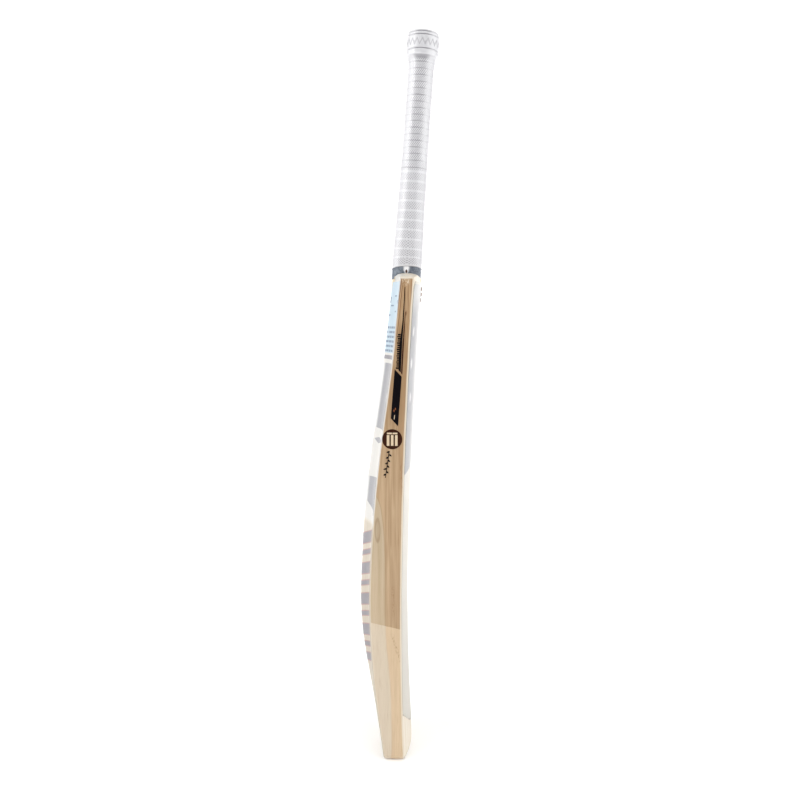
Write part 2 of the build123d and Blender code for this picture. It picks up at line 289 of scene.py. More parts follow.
def add_grain_lines(s, side):
    for depth, lean, low, high, dark in GRAIN_LINES:
        off = s.sub(s.add(s.y, s.mul(s.sub(s.z, 0.53), lean)), depth)
        waver = s.noise((0.1, 0.1, 0.012), detail=2.0, shift=depth * 900)
        off = s.add(off, s.mul(s.sub(waver, 0.5), 0.0014))
        line = s.sub(1.0, s.ramp(s.do("ABSOLUTE", off), 0.0002, 0.0006))
        line = s.mul(line, s.band(s.z, low, high, 0.006))
        side = s.mix(s.mul(line, dark), side, linear(104, 66, 36))
    return side


def add_dark_streaks(s, side):
    for depth, height, long, lean in DARK_STREAKS:
        off = s.sub(s.sub(s.y, depth), s.mul(s.sub(s.z, height), lean))
        streak = s.sub(1.0, s.ramp(s.do("ABSOLUTE", off), 0.0006, 0.0024))
        streak = s.mul(streak, s.band(s.z, height - long, height + long, 0.004))
        grit = s.noise((0.1, 0.0009, 0.0035), detail=3.0, rough=0.7, shift=height * 90)
        streak = s.mul(streak, s.ramp(grit, 0.50, 0.62))
        side = s.mix(s.mul(streak, 0.65), side, linear(140, 98, 58))
    return side


def oval_spot(s, depth, height, long):
    """0 in the middle of a narrow oval on the edge, and 1 on its outline."""
    across = s.do("POWER", s.mul(s.sub(s.y, depth), 1 / (long * 0.2 + 0.0006)), 2.0)
    return s.add(across, s.do("POWER", s.mul(s.sub(s.z, height), 1 / long), 2.0))


def add_knots(s, side):
    """A small knot under the shoulder, and an oval ring of figure further down."""
    brown = linear(112, 76, 44)
    knot = s.sub(1.0, s.ramp(oval_spot(s, -0.0161, 0.5321, 0.0035), 0.1, 1.0))
    side = s.mix(s.mul(knot, 0.75), side, brown)
    oval = oval_spot(s, 0.0168, 0.281, 0.017)
    ring = s.mul(s.band(oval, 0.35, 0.8, 0.18), 0.26)
    middle = s.mul(s.sub(1.0, s.ramp(oval, 0.1, 1.0)), 0.18)
    return s.mix(s.add(ring, middle), side, brown)


def edge_share(s):
    """1 on the long edges, and 0 on the face, the back and the shoulders' rounded tops."""
    wrapped = s.mul(s.mul(s.ramp(s.ny, 0.0, 0.1), s.ramp(s.z, 0.49, 0.515)), 0.36)
    share = s.sub(1.0, s.ramp(s.sub(s.do("ABSOLUTE", s.ny), wrapped), 0.2, 0.55))
    rounding = s.mul(s.do("POWER", s.sub(s.y, HANDLE_DEPTH), 2.0), 45.0)
    share = s.mul(share, s.sub(1.0, s.ramp(s.add(s.z, rounding), 0.5738, 0.5750)))
    return s.mul(share, s.sub(1.0, s.ramp(s.nz, 0.25, 0.55)))


def make_willow():
    s = Shade("willow", Coat_Weight=0.1, Coat_Roughness=0.3)
    line, fibre, streak = wood_grain(s)
    side = edge_wood(s, fibre, streak)
    for add_figure in (add_shoulder_grain, add_border_line, add_grain_lines, add_dark_streaks, add_knots):
        side = add_figure(s, side)
    base = s.mix(edge_share(s), flat_wood(s, line, streak), side)
    base = s.mix(s.mul(s.ramp(fibre, 0.5, 0.85), 0.12), base, linear(190, 160, 120))
    s.colour(base)
    s.rough(s.add(0.36, s.mul(fibre, 0.16)))
    s.bump(s.add(s.mul(fibre, 0.6), s.mul(line, 0.4)), 0.00012, 0.5)
    return s.material


# ---------------------------------------------------------------- other materials
def make_cane():
    s = Shade("cane", Roughness=0.55)
    fibre = s.noise((0.0005, 0.0005, 0.03), detail=4.0, rough=0.65)
    pores = s.noise((0.0011, 0.0011, 0.05), detail=1.0, shift=4.0)
    base = s.mix(s.ramp(fibre, 0.35, 0.75), linear(213, 197, 168), linear(184, 163, 131))
    s.colour(s.mix(s.mul(s.ramp(pores, 0.62, 0.72), 0.7), base, linear(140, 100, 60)))
    s.bump(fibre, 0.0002, 0.6)
    return s.material


def make_plain(name, colour, deeper, grain, rough, **sockets):
    """A material with fine mottling between two close colours, and the same in its polish and surface."""
    s = Shade(name, **sockets)
    mottle = s.noise((grain, grain, grain), detail=4.0, rough=0.6)
    broad = s.noise((grain * 14, grain * 14, grain * 14), detail=2.0, shift=2.0)
    s.colour(s.mix(s.add(s.mul(mottle, 0.5), s.mul(broad, 0.5)), linear(*colour), linear(*deeper)))
    s.rough(s.add(rough - 0.06, s.mul(broad, 0.12)))
    s.bump(mottle, 0.00005, 0.5)
    return s.material


def make_sheet():
    """A clear woven sheet with the wood's grain showing through it, and a broken brown line along its curved
    lower end.
    """
    s = Shade("face_sheet", Roughness=0.4, Specular_IOR_Level=0.35, Coat_Weight=0.1, Coat_Roughness=0.25)
    line, _, streak = wood_grain(s)
    thread = 2 * pi / 0.0011
    weave = s.mul(s.do("SINE", s.mul(s.x, thread)), s.do("SINE", s.mul(s.z, thread)))
    base = s.mix(s.mul(line, 0.3), linear(197, 192, 182), linear(182, 173, 157))
    base = s.mix(s.mul(s.ramp(streak, 0.5, 0.85), 0.3), base, linear(188, 179, 164))
    base = s.mix(s.mul(s.ramp(weave, 0.2, 1.0), 0.10), base, linear(180, 176, 170))
    outward = s.mul(s.do("ABSOLUTE", s.x), 1 / 0.0515)
    end = s.add(0.0280, s.mul(s.do("POWER", outward, 1.5), 0.0275))
    end_line = s.sub(1.0, s.ramp(s.sub(s.z, end), 0.0006, 0.0022))
    end_line = s.mul(end_line, s.ramp(s.noise((0.004, 0.02, 0.02), detail=2.0, shift=8.0), 0.4, 0.55))
    s.colour(s.mix(s.mul(end_line, 0.75), base, linear(128, 100, 74)))
    s.bump(weave, 0.00003, 0.4)
    return s.material


def make_grey():
    s = Shade("grey_print", Specular_IOR_Level=0.3, Coat_Weight=0.1, Coat_Roughness=0.2)
    mottle = s.noise((0.0016, 0.0016, 0.0016), detail=4.0, rough=0.6)
    brushed = s.noise((0.0009, 0.002, 0.05), detail=3.0, shift=5.0)
    base = s.mix(mottle, linear(141, 140, 143), linear(130, 129, 133))
    base = s.mix(s.mul(s.ramp(brushed, 0.5, 0.8), 0.5), base, linear(156, 155, 157))
    # Painted highlights: small bright glints near the left side.
    for x, z in ((-0.0415, 0.5110), (-0.0430, 0.4745), (-0.0405, 0.4350)):
        upward = s.do("POWER", s.mul(s.sub(s.z, z), 1 / 0.0060), 2.0)
        reach = s.add(upward, s.do("POWER", s.mul(s.sub(s.x, x), 1 / 0.0034), 2.0))
        painted_glint = s.sub(1.0, s.ramp(s.add(reach, s.mul(s.sub(brushed, 0.5), 3.0)), 0.1, 1.6))
        base = s.mix(s.mul(painted_glint, 0.5), base, linear(230, 229, 226))
    # The face's panel is paler towards the middle and the top, and the back's panels along the spine.
    front = s.sub(1.0, s.ramp(s.y, -0.012, -0.008))
    middle = s.sub(1.0, s.ramp(s.do("ABSOLUTE", s.x), 0.014, 0.036))
    fade = s.mul(s.do("MAXIMUM", middle, s.ramp(s.z, 0.525, 0.555)), front)
    base = s.mix(s.mul(fade, 0.7), base, linear(188, 187, 184))
    spine = s.mul(s.sub(1.0, s.ramp(s.do("ABSOLUTE", s.x), 0.012, 0.019)), s.sub(1.0, front))
    base = s.mix(s.mul(spine, 0.9), base, linear(206, 205, 202))
    s.colour(base)
    s.rough(s.add(0.3, s.mul(mottle, 0.1)))
    s.bump(mottle, 0.00004, 0.4)
    return s.material


def make_grip_rubber():
    """Pale glossy rubber, painted grey by the mesh's per-point value of painted shade in its hollows and
    grooves.
    """
    s = Shade("grip_rubber", Specular_IOR_Level=0.5, Coat_Weight=1.0, Coat_Roughness=0.1, Coat_IOR=1.6)
    mottle = s.noise((0.0012, 0.0012, 0.0012), detail=3.0)
    broad = s.noise((0.02, 0.02, 0.03), detail=2.0, shift=2.0)
    painted_shade = s.node("Attribute", attribute_name="painted_shade").outputs["Fac"]
    base = s.mix(s.mul(broad, 0.6), linear(221, 221, 223), linear(214, 213, 216))
    base = s.mix(s.mul(mottle, 0.3), base, linear(210, 209, 214))
    s.colour(s.mix(s.mul(painted_shade, 0.95), base, linear(124, 122, 128)))
    s.rough(s.add(0.4, s.mul(mottle, 0.16)))
    s.bump(mottle, 0.00004, 0.5)
    return s.material


def make_tape():
    s = Shade("shoulder_tape", Specular_IOR_Level=0.5, Coat_Weight=0.15, Coat_Roughness=0.2)
    crumple = s.noise((0.004, 0.004, 0.003), detail=4.0, rough=0.6, warp=0.8)
    folds = s.noise((0.012, 0.012, 0.0035), detail=2.0, shift=6.0)
    base = s.mix(s.ramp(crumple, 0.35, 0.7), linear(84, 93, 105), linear(124, 132, 142))
    # Painted highlight: a white glare down the middle of the tape on each side, widening upwards, with a
    # brown spot in it.
    away = s.do("ABSOLUTE", s.sub(s.y, HANDLE_DEPTH))
    jag = s.mul(s.sub(crumple, 0.5), 0.004)
    flare = s.add(0.0010, s.mul(s.ramp(s.z, 0.5765, 0.5855), 0.0016))
    painted_glare = s.sub(1.0, s.ramp(s.do("DIVIDE", s.add(away, jag), flare), 0.5, 2.0))
    base = s.mix(s.mul(painted_glare, 0.95), base, linear(250, 250, 252))
    upward = s.do("POWER", s.mul(s.sub(s.z, 0.5808), 1 / 0.0024), 2.0)
    brown_spot = s.add(s.do("POWER", s.mul(away, 1 / 0.0015), 2.0), upward)
    base = s.mix(s.sub(1.0, s.ramp(s.add(brown_spot, s.mul(crumple, 0.5)), 0.6, 1.4)), base, linear(64, 34, 20))
    s.colour(base)
    s.rough(s.add(0.34, s.mul(crumple, 0.2)))
    s.bump(s.add(s.mul(crumple, 0.6), s.mul(folds, 0.8)), 0.0011, 0.9)
    return s.material


WILLOW = make_willow()
CANE = make_cane()
SHEET = make_sheet()
GRIP = make_grip_rubber()
TAPE = make_tape()
GREY = make_grey()
RUBBER = make_plain("spring_rubber", (44, 40, 38), (28, 26, 25), 0.0015, 0.7, Roughness=0.7)
TWINE = make_plain("twine", (228, 222, 206), (206, 198, 178), 0.0008, 0.6, Roughness=0.6)
BLACK = make_plain("black_print", (12, 9, 13), (6, 4, 7), 0.0014, 0.6, Specular_IOR_Level=0.06)
BROWN = make_plain("brown_print", (60, 28, 10), (42, 18, 6), 0.0014, 0.6, Specular_IOR_Level=0.1)
BLUE = make_plain("label_blue", (180, 196, 206), (168, 187, 200), 0.004, 0.45, Specular_IOR_Level=0.3)
ORANGE = make_plain("orange_print", (150, 88, 44), (116, 62, 28), 0.001, 0.4)
INK = make_plain("label_ink", (128, 142, 158), (108, 123, 142), 0.001, 0.5, Specular_IOR_Level=0.3)
PALE = make_plain("pale_print", (226, 206, 176), (206, 182, 148), 0.0012, 0.4)
ROSE = make_plain("rose_print", (176, 146, 140), (164, 134, 130), 0.0012, 0.5, Specular_IOR_Level=0.3)
TAUPE = make_plain("taupe_print", (168, 150, 138), (148, 130, 118), 0.0012, 0.5, Specular_IOR_Level=0.3)
SLATE = make_plain("slate_print", (142, 138, 142), (130, 126, 130), 0.0012, 0.45, Specular_IOR_Level=0.3)


def dress(node, material):
    mesh = NODES[node].data
    mesh.materials.clear()
    mesh.materials.append(material)
    mesh.polygons.foreach_set("material_index", [0] * len(mesh.polygons))


for name in NODES:
    if name.startswith("cane_"):
        dress(name, CANE)
    elif name.startswith("spring_"):
        dress(name, RUBBER)
    elif name.startswith(("edge_roundel", "edge_accent")):
        dress(name, BROWN)
    elif name.startswith("edge_"):
        dress(name, BLACK)
dress("blade", WILLOW)
dress("face_sheet", SHEET)
dress("twine_binding", TWINE)
dress("shoulder_tape", TAPE)
for name in ("face_panel", "back_panel_upper", "back_panel_lower"):
    dress(name, GREY)
dress("back_label", BLUE)


# ---------------------------------------------------------------- the grip
# Sizes are in millimetres here, and heights run along the handle's axis.
HANDLE_BASE = Vector((0.0, -0.014, 0.567))
HANDLE_LEAN = 0.0711
HANDLE_UP = Vector((0.0, -HANDLE_LEAN, 1.0)).normalized()
HANDLE_BACK = Vector((0.0, 1.0, HANDLE_LEAN)).normalized()
HANDLE_ROUNDNESS = 0.955  # the cane's width over its depth
# Height, half depth of the cane there and squareness of its oval.
OVAL_TABLE = [
    (-9, 16.5, 3.2), (12, 16.3, 3.0), (38, 15.8, 2.5), (96, 14.4, 2.15),
    (154, 13.6, 2.0), (211, 13.3, 2.0), (292, 13.4, 2.0),
]
GRIP_WALL = 2.3  # twine and rubber together
GRIP_BOTTOM, GRIP_TOP = 16.3, 288.0
LIP_TOP = 18.4  # top of the rolled lip at the lower edge
ARCH_TOP = 40.0  # above this the rings are flat
ARCH_RISE, ARCH_HALF = 3.7, 17.5
AROUND = 336  # points round a ring
ROW_STEP = 0.4
DIAMONDS = 42  # round the grip
DIAMOND_HEIGHT = 3.2
GROOVES = [252.0 - 7.35 * i for i in range(15)] + [141.3, 133.2]
BANDS = [128.8 - 11.12 * i for i in range(10)]
# Height, and how much the grip is thicker there than its plain wall.
COLLAR_PROFILE = [
    (246, 0.0), (252, 0.3), (256.5, 0.9), (258.0, 1.5), (259.2, 2.6), (260.6, 3.5), (264.0, 3.8),
    (265.2, 3.4), (265.9, 2.7), (266.6, 3.4), (267.6, 3.9), (279.4, 4.0), (280.4, 3.7), (281.1, 2.7),
    (281.9, 3.5), (283.4, 3.4), (284.2, 2.9), (284.8, 1.9), (285.6, 2.2), (286.6, 1.8), (287.4, 0.8),
    (288.0, -0.8),
]
COLLAR_GROOVES = (265.9, 281.1, 284.8)
CAP_RADIUS = 9.0
# Height, growth of the oval and share of a plain circle: over the top edge, and then down the bore.
CAP_RINGS = [
    (288.0, -1.5, 0.1), (288.0, -2.6, 0.35), (288.0, -3.2, 0.7), (287.6, -3.6, 1.0), (285.6, -3.6, 1.0),
]
BORE_RINGS = [(285.1, -3.0, 0.9), (285.05, 0.4, 0.0)]
BORE_RINGS += [(h, 0.62, 0.0) for h in (284.0, 211.0, 154.0, 96.0, 60.0, 40.0)]
BORE_RINGS += [(36.0, 1.12, 0.0), (GRIP_BOTTOM, 1.12, 0.0)]


def smooth_step(value, low, high):
    t = min(1.0, max(0.0, (value - low) / (high - low)))
    return t * t * (3 - 2 * t)


def oval_at(h):
    heights, depths, squareness = zip(*OVAL_TABLE)
    return np.interp(h, heights, depths), np.interp(h, heights, squareness)


def collar_extra(h):
    heights, extras = zip(*COLLAR_PROFILE)
    return float(np.interp(h, heights, extras))


def ring_points(h, extra, texture=0.0, circle=0.0):
    """One ring: the cane's oval grown by extra, or partly a plain circle, with an offset per point."""
    depth, square = oval_at(h)
    angle = np.arange(AROUND) * (2 * pi / AROUND)
    c, s = np.cos(angle), np.sin(angle)
    power = 2 / square
    across = np.sign(c) * np.abs(c) ** power * (depth * HANDLE_ROUNDNESS + extra)
    along = np.sign(s) * np.abs(s) ** power * (depth + extra)
    across = across * (1 - circle) + c * CAP_RADIUS * circle
    along = along * (1 - circle) + s * CAP_RADIUS * circle
    swell = 1 + texture / np.hypot(across, along)
    # The lower edge dips at the front and back and arches up over the shoulders.
    arched = max(0.0, (ARCH_TOP - h) / (ARCH_TOP - GRIP_BOTTOM))
    ring = []
    for a, b in zip(across * swell, along * swell):
        rise = (ARCH_RISE * (a / ARCH_HALF) ** 2 - HANDLE_LEAN * b) * arched
        ring.append(HANDLE_BASE + (Vector((a, 0, 0)) + HANDLE_BACK * b + HANDLE_UP * (h + rise)) * MM)
    return ring


def diamond_net(h):
    """How far each point of a ring is sunk into a cell of the rubber's diamond net, from 0 to 1."""
    turn = np.arange(AROUND) / AROUND * DIAMONDS
    climb = h / DIAMOND_HEIGHT
    rib_a = np.abs(np.sin(pi * (turn + climb)))
    rib_b = np.abs(np.sin(pi * (turn - climb)))
    cell = np.clip((np.minimum(rib_a, rib_b) - 0.40) / 0.34, 0, 1)
    ribbed = smooth_step(h, 18.2, 19.0) * (1 - smooth_step(h, 257.0, 258.0))
    for band in BANDS:
        ribbed *= 0.15 + 0.85 * smooth_step(abs(h - band), 0.8, 1.5)
    return cell * ribbed


def grip_relief(h):
    """Offset of the grip's surface from its average, and its painted shade, round one ring."""
    net = diamond_net(h)
    offset = -0.1 * net
    # Painted shade: the net's hollows and the grooves are darkened, most on the two sides that face along X
    # and less at the front and back, standing in for the shade down the grip's middle between the side
    # lamps.
    low_grip = 1 - smooth_step(h, 128, 150)
    turned = np.abs(np.cos(np.arange(AROUND) / AROUND * 2 * pi))
    sideways = np.clip((turned - 0.80 + 0.2 * low_grip) / (0.15 + 0.2 * low_grip), 0, 1)
    shade_weight = sideways + (1 - sideways) * (0.3 + 0.25 * low_grip)
    painted_shade = net * (0.9 - 0.15 * low_grip)
    for band in BANDS:
        offset = offset + 0.06 * (1 - smooth_step(abs(h - band), 1.0, 1.8))
    for groove in GROOVES:
        depth = 1 - smooth_step(abs(h - groove), 0.25, 0.75)
        offset = offset * (1 - depth) - 0.25 * depth
        painted_shade = np.maximum(painted_shade, depth * 0.8)
    # Painted shade: a light grey over all of the grip, more on the collar, weighted the same way.
    painted_shade = np.maximum(painted_shade, 0.08 + 0.14 * smooth_step(h, 258.0, 262.0)) * shade_weight
    # Painted shade in the collar's grooves and under its lowest ridge.
    for groove in COLLAR_GROOVES:
        depth = 1 - smooth_step(abs(h - groove), 0.35, 0.9)
        painted_shade = np.maximum(painted_shade, depth * (0.35 + 0.65 * sideways))
    under_collar = smooth_step(h, 252.5, 257.0) * (1 - smooth_step(h, 258.8, 260.4))
    painted_shade = np.maximum(painted_shade, 0.8 * under_collar * (0.3 + 0.7 * sideways))
    if h < LIP_TOP:
        offset = offset + 0.25 * sin(pi * min(1.0, (h - GRIP_BOTTOM) / 2.0)) - 0.1
    return offset, painted_shade


def relief_band(h):
    """A zigzag cut into the collar, with an upright in every other bend: its offset and its shade."""
    turn = np.arange(AROUND) / AROUND * 20
    inside = smooth_step(h, 269.0, 269.6) * (1 - smooth_step(h, 277.0, 277.6))
    bend = np.abs(turn % 1.0 - 0.5) * 2
    line = np.abs(h - (270.0 + 6.8 * bend))
    upright = np.where(turn % 2.0 < 1.0, np.abs(turn % 1.0 - 0.5), 1.0)
    zigzag = 1 - np.clip((line - 1.0) / 1.1, 0, 1)
    post = 1 - np.clip((upright - 0.07) / 0.06, 0, 1)
    cut = np.maximum(zigzag, post * (1 - smooth_step(h, 273.4, 274.0))) * inside
    return -0.3 * cut, 0.55 * cut


def grip_rings():
    """The grip's rings up the outside and down the bore, and the painted shade of each of their points."""
    rings, painted_shades = [], []
    rows = int((GRIP_TOP - GRIP_BOTTOM) / ROW_STEP)
    for i in range(rows + 1):
        h = GRIP_BOTTOM + (GRIP_TOP - GRIP_BOTTOM) * i / rows
        offset, painted_shade = grip_relief(h)
        cut, shade = relief_band(h)
        rings.append(ring_points(h, GRIP_WALL + collar_extra(h), offset + cut))
        painted_shades.append(np.maximum(painted_shade, shade))
    cap = [(h, GRIP_WALL + extra, circle) for h, extra, circle in CAP_RINGS]
    for h, extra, circle in cap + BORE_RINGS:
        rings.append(ring_points(h, extra, circle=circle))
        painted_shades.append(np.zeros(AROUND))
    return rings, painted_shades


def build_grip():
    rings, painted_shades = grip_rings()
    verts = [v for ring in rings for v in ring]
    faces = []
    for i in range(len(rings)):
        low, high = i * AROUND, (i + 1) % len(rings) * AROUND
        for j in range(AROUND):
            k = (j + 1) % AROUND
            faces.append((low + j, low + k, high + k, high + j))
    grip = mesh_object("grip_detail", verts, faces, GRIP)
    attribute = grip.data.attributes.new("painted_shade", "FLOAT", "POINT")
    attribute.data.foreach_set("value", np.concatenate(painted_shades).astype(np.float32))
    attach(grip, "root")
    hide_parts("grip")


build_grip()


# ---------------------------------------------------------------- small printed pieces
def wooden_surface():
    """The outside of the blade and of the cane let into it, to put prints on."""
    verts, faces = [], []
    for name, node in NODES.items():
        if name == "blade" or name.startswith(("cane_", "spring_")):
            start = len(verts)
            verts += [v.co[:] for v in node.data.vertices]
            faces += [tuple(start + k for k in p.vertices) for p in node.data.polygons]
    return BVHTree.FromPolygons(verts, faces)


WOOD_TREE = wooden_surface()


# Each of these four puts flat coordinates on one side of the bat, at a height above its surface.
def on_back(x, z, height):
    hit = WOOD_TREE.ray_cast(Vector((x, 1.0, z)), Vector((0, -1, 0)))[0]
    return hit + Vector((0, height, 0))


def on_face(x, z, height):
    hit = WOOD_TREE.ray_cast(Vector((x, -1.0, z)), Vector((0, 1, 0)))[0]
    return hit - Vector((0, height, 0))


def on_left_edge(y, z, height):
    return Vector((-HALF_WIDTH - height, y, z))


def on_right_edge(y, z, height):
    return Vector((HALF_WIDTH + height, y, z))


def slab(shape, columns, rows, place, low, high):
    """A thin closed solid: shape(u, v) gives flat coordinates, place puts them on a surface at a height."""
    verts, faces = [], []
    for height in (low, high):
        for j in range(rows + 1):
            for i in range(columns + 1):
                a, b = shape(i / columns, j / rows)
                verts.append(place(a, b, height))
    wide = columns + 1
    layer = wide * (rows + 1)
    for j in range(rows):
        for i in range(columns):
            k = j * wide + i
            faces.append((k, k + wide, k + wide + 1, k + 1))
            k += layer
            faces.append((k, k + 1, k + wide + 1, k + wide))
    border = list(range(wide)) + [j * wide + columns for j in range(1, rows + 1)]
    border += [rows * wide + i for i in range(columns - 1, -1, -1)]
    border += [j * wide for j in range(rows - 1, 0, -1)]
    for i, a in enumerate(border):
        b = border[(i + 1) % len(border)]
        faces.append((a, b, b + layer, a + layer))
    return verts, faces


def quad(a, b, c, d):
    """A four-sided shape between corners, in order round it."""
    a, b, c, d = (Vector(p) for p in (a, b, c, d))

    def shape(u, v):
        return (a.lerp(b, u)).lerp(d.lerp(c, u), v)

    return shape


def printed(name, shapes, place, low, high, material):
    """One printed piece made of several thin shapes; shapes are (shape, columns, rows)."""
    verts, faces = [], []
    for shape, columns, rows in shapes:
        more, rims = slab(shape, columns, rows, place, low, high)
        start = len(verts)
        verts += more
        faces += [tuple(start + k for k in face) for face in rims]
    piece = mesh_object(name, verts, faces, material, smooth=False)
    shaped = bmesh.new()
    shaped.from_mesh(piece.data)
    bmesh.ops.recalc_face_normals(shaped, faces=shaped.faces)
    shaped.to_mesh(piece.data)
    shaped.free()
    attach(piece, "root")


def mm(*points):
    """Points given in millimetres, in metres."""
    return [tuple(value * MM for value in point) for point in points]


def bar(left, z0, right, z1):
    """An upright rectangle between two opposite corners, given in millimetres."""
    return quad(*mm((left, z0), (right, z0), (right, z1), (left, z1)))


# Prints on the edges: flat coordinates are depth and height in millimetres.
EDGE_SKIN = 0.00010  # thickness of the decals on the edges, and of a print beside them
DASH_LENGTHS = [1.9, 1.4, 2.1, 1.6, 1.9, 2.2, 1.4, 1.9, 1.7, 2.1, 1.5, 2.0, 1.7, 1.4, 1.8, 1.6, 2.0]
ROUNDEL_Y, ROUNDEL_Z = -0.3, 388.0


def edge_dashes(side, place):
    """A column of short dashes beside the stripe."""
    dashes, z = [], 508.6
    for i, long in enumerate(DASH_LENGTHS):
        share = (509.6 - z) / 40.8
        inner = -10.1 + 1.4 * share
        outer = -7.0 + 2.1 * share + (0.5 if i % 3 == 1 else 0.0)
        dashes.append((bar(inner, z, outer, z - long), 1, 1))
        z -= long + 0.6
    printed(f"edge_dashes_{side}", dashes, place, 0.0, EDGE_SKIN, BLACK)


def edge_wicket(side, place):
    """A wicket on the roundel: three stumps and two bails."""
    y, z = ROUNDEL_Y, ROUNDEL_Z
    wicket = [(bar(at - 1.5, z - 7.6, at + 1.5, z + 4.8), 1, 1) for at in (y - 4.7, y, y + 4.7)]
    wicket += [(bar(at - 2.8, z + 5.8, at + 2.8, z + 7.6), 1, 1) for at in (y - 3.2, y + 3.2)]
    printed(f"edge_wicket_{side}", wicket, place, EDGE_SKIN, 0.00018, PALE)


def edge_twig(side, place):
    """A twig with leaves on both sides, under the roundel."""
    foot, tip = Vector((3.0, 374.5)), Vector((7.6, 343.0))
    along = (tip - foot).normalized()
    out = Vector((-along.y, along.x))
    stem = mm(foot - out * 0.55, tip - out * 0.4, tip + out * 0.4, foot + out * 0.55)
    twig = [(quad(*stem), 1, 1)]
    for k in range(9):
        root = foot.lerp(tip, 0.03 + 0.105 * k)
        way = out if k % 2 == 0 else -out
        tall = 4.0 if k in (1, 6) else 3.1
        point = root + way * tall + along * 1.6
        outer = root + way * tall * 0.5 - along * 0.5
        inner = root + way * tall * 0.3 + along * 1.9
        twig.append((quad(*mm(root - along * 0.5, outer, point, inner)), 1, 1))
    printed(f"edge_twig_{side}", twig, place, 0.0, EDGE_SKIN, BLACK)


def edge_flame(side, place):
    """A little flame of two strokes, and a short line under it, near the panel's lower end."""
    strokes = [
        ((-3.3, 421.0), (-2.2, 422.9), (-1.6, 420.8), (-2.7, 419.0)),
        ((-4.7, 423.2), (-3.7, 424.9), (-3.2, 423.0), (-4.2, 421.4)),
    ]
    flame = [(quad(*mm(*stroke)), 1, 1) for stroke in strokes]
    printed(f"edge_flame_{side}", flame, place, EDGE_SKIN, 0.00016, ORANGE)
    line = [(quad(*mm((-3.4, 416.0), (-2.7, 416.0), (-2.3, 411.0), (-3.0, 411.0))), 1, 1)]
    printed(f"edge_bar_{side}", line, place, EDGE_SKIN, 0.00016, PALE)


for side, place in (("left", on_left_edge), ("right", on_right_edge)):
    for add_prints in (edge_dashes, edge_wicket, edge_twig, edge_flame):
        add_prints(side, place)

# Prints on the back and the face: flat coordinates are X and height in millimetres. A chevron has a height
# and a thickness.
CHEVRONS = [(256, 13), (238, 5), (218, 13), (200, 5), (180, 13), (162, 5), (142, 13), (124, 5), (108, 9)]
LABEL_ROWS, LABEL_ROW_TOP, LABEL_ROW_STEP = 6, 515.5, 5.4
# Left end, height of the middle, width and height of the larger bars on the label.
LABEL_BARS = [
    (-44, 563, 3.5, 1.2), (-30, 552, 6, 1.6), (-38, 545, 2.2, 4), (-22, 541, 9, 1.6), (-33, 534, 5, 1.6),
    (-12, 548, 18, 7), (-14, 530, 24, 2),
]


def chevron(z, half, thick, rise):
    """One chevron across the spine, point down, as two bars that meet in the middle."""
    low, high = z - thick / 2, z + thick / 2
    left = quad(*mm((-half, low + rise), (0, low), (0, high), (-half, high + rise)))
    right = quad(*mm((0, low), (half, low + rise), (half, high + rise), (0, high)))
    return [(left, 24, 3), (right, 24, 3)]


def back_marks():
    """A plain row of chevrons down the lower back, thick ones and thin ones, each with a narrow border."""
    grey, rose = [], []
    for z, thick in CHEVRONS:
        grey += chevron(z, 41, thick, 15)
        rose += chevron(z, 42.4, thick + 2.6, 15.5)
    printed("back_marks", grey, on_back, 0.0, 0.00022, SLATE)
    printed("back_mark_edges", rose, on_back, 0.0, 0.00017, ROSE)


def label_bars():
    """Rows of short bars of uneven length on the label, and a few larger ones above them."""
    bars = []
    turn = 0.37
    for row in range(LABEL_ROWS):
        z = LABEL_ROW_TOP - LABEL_ROW_STEP * row
        x = -45.0
        while x < 40:
            turn = (turn * 7.13 + 0.31) % 1.0
            long = 3.0 + 6.0 * turn
            bars.append((bar(x, z - 1.3, x + long, z + 1.3), 4, 1))
            x += long + 1.6
    for x, z, wide, tall in LABEL_BARS:
        bars.append((bar(x, z - tall / 2, x + wide, z + tall / 2), 5, 1))
    printed("label_bars", bars, on_back, 0.0003, 0.00038, INK)


def back_lozenges():
    """A lozenge on each side of the spine and a small one on it, between the two grey panels."""
    lozenges = []
    for way in (-1, 1):
        corners = mm((46 * way, 383.5), (30 * way, 387.0), (14 * way, 383.5), (30 * way, 379.5))
        lozenges.append((quad(*corners), 12, 4))
    lozenges.append((quad(*mm((-7, 376), (0, 381), (7, 376), (0, 371))), 6, 4))
    printed("back_lozenges", lozenges, on_back, 0.0, 0.00022, GREY)


def back_tab():
    """A narrow strip between the label and the upper panel."""
    tab = [(quad(*mm((-48, 478.6), (48, 478.6), (42, 483.2), (-42, 483.2))), 48, 1)]
    printed("back_tab", tab, on_back, 0.0, 0.0002, SLATE)


def face_marks():
    """A narrow upright mark of three short bars in the middle of the face, close to the shoulder."""
    bars = [(bar(-3.0, z, 3.0, z + 4.6), 2, 1) for z in (545.5, 552.0, 558.5)]
    printed("face_marks", bars, on_face, 0.0006, 0.0021, TAUPE)


back_marks()
label_bars()
back_lozenges()
back_tab()
face_marks()


# ---------------------------------------------------------------- the blade's toe
TOE_CORNER = 0.007  # radius of the blade's two lower corners
TOE_ROUND = 0.0030
# Heights at which the mesh is cut across, so that the rounding has rows of its own.
TOE_CUTS = (0.0002, 0.0006, 0.0011, 0.0018, 0.0030, 0.0042, 0.0055, 0.0070, 0.0076, 0.0083, 0.0091, 0.0100)
CREASE = radians(32)


def toe_height(x, z):
    """How high a point is above the toe, which curves up at its two sides."""
    out = max(0.0, abs(x) - (HALF_WIDTH - TOE_CORNER))
    return z - TOE_CORNER + (max(0.0, TOE_CORNER ** 2 - out ** 2)) ** 0.5


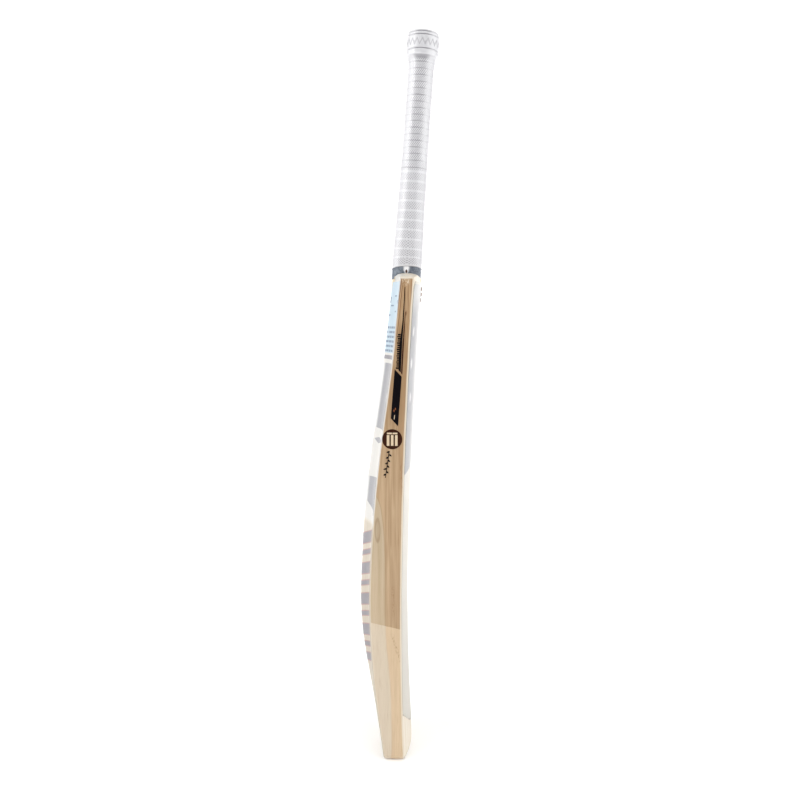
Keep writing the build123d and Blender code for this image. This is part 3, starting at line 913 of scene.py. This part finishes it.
def build_blade():
    """The blade as in the CAD, with the toe's long edges rounded."""
    shaped = bmesh.new()
    shaped.from_mesh(NODES["blade"].data)
    bmesh.ops.remove_doubles(shaped, verts=shaped.verts, dist=1e-6)
    for level in TOE_CUTS:
        whole = shaped.verts[:] + shaped.edges[:] + shaped.faces[:]
        bmesh.ops.bisect_plane(shaped, geom=whole, dist=1e-7, plane_co=(0, 0, level), plane_no=(0, 0, 1))
    shaped.normal_update()
    moves = []
    for v in shaped.verts:
        height = toe_height(v.co.x, v.co.z)
        flat = (v.normal.x ** 2 + v.normal.y ** 2) ** 0.5
        if height < TOE_ROUND and flat > 0.2:
            short = TOE_ROUND - max(0.0, height)
            inward = TOE_ROUND - (TOE_ROUND ** 2 - short ** 2) ** 0.5
            moves.append((v, inward * v.normal.y / flat))
    for v, inward in moves:
        v.co.y -= inward
    mesh = bpy.data.meshes.new("blade_detail")
    shaped.to_mesh(mesh)
    shaped.free()
    mesh.polygons.foreach_set("use_smooth", [True] * len(mesh.polygons))
    mesh.set_sharp_from_angle(angle=CREASE)
    mesh.materials.clear()
    mesh.materials.append(WILLOW)
    mesh.polygons.foreach_set("material_index", [0] * len(mesh.polygons))
    blade = bpy.data.objects.new("blade_detail", mesh)
    bpy.context.scene.collection.objects.link(blade)
    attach(blade, "root")
    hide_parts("blade")


build_blade()


# ---------------------------------------------------------------- studio
def add_floor():
    """A floor that curves up into a backdrop behind the bat."""
    near, bend, radius, top, half_width, steps = -4.0, 2.2, 0.9, 4.0, 5.0, 12
    profile = [(near, 0.0), (bend, 0.0)]
    for i in range(1, steps + 1):
        a = pi / 2 * i / steps
        profile.append((bend + radius * sin(a), radius - radius * cos(a)))
    profile.append((bend + radius, top))
    verts, faces = [], []
    for x, z in profile:
        verts += [(x, -half_width, z), (x, half_width, z)]
    for i in range(len(profile) - 1):
        faces.append((2 * i, 2 * i + 2, 2 * i + 3, 2 * i + 1))
    glow = {"Emission_Color": (1, 1, 1, 1), "Emission_Strength": 0.1}
    white = make_plain("floor", (252, 252, 252), (249, 249, 249), 0.02, 0.6, **glow)
    mesh_object("floor", verts, faces, white)


def add_world():
    world = bpy.data.worlds.new("studio")
    world.use_nodes = True
    background = world.node_tree.nodes["Background"]
    background.inputs["Color"].default_value = (1.0, 1.0, 1.0, 1.0)
    background.inputs["Strength"].default_value = 0.3
    bpy.context.scene.world = world


add_camera()
add_floor()
add_world()
add_softbox("softbox_face", (-0.55, -1.4, 0.85), (0, 0, 0.6), (2.0, 2.6), 26.5)
add_softbox("softbox_back", (-0.55, 1.4, 0.85), (0, 0, 0.6), (2.0, 2.6), 29)
add_softbox("softbox_top", (-0.6, 0.0, 2.3), (0, 0, 0.4), (1.5, 1.5), 9)
add_softbox("strip", (-0.66, 1.13, 1.1), (0, -0.03, 0.72), (0.05, 0.6), 2.0)
add_softbox("backdrop_light_a", (0.9, -1.7, 1.6), (3.1, -1.5, 0.9), (1.6, 1.6), 70)
add_softbox("backdrop_light_b", (0.9, 1.7, 1.6), (3.1, 1.5, 0.9), (1.6, 1.6), 70)
bpy.context.scene.view_settings.view_transform = "Standard"
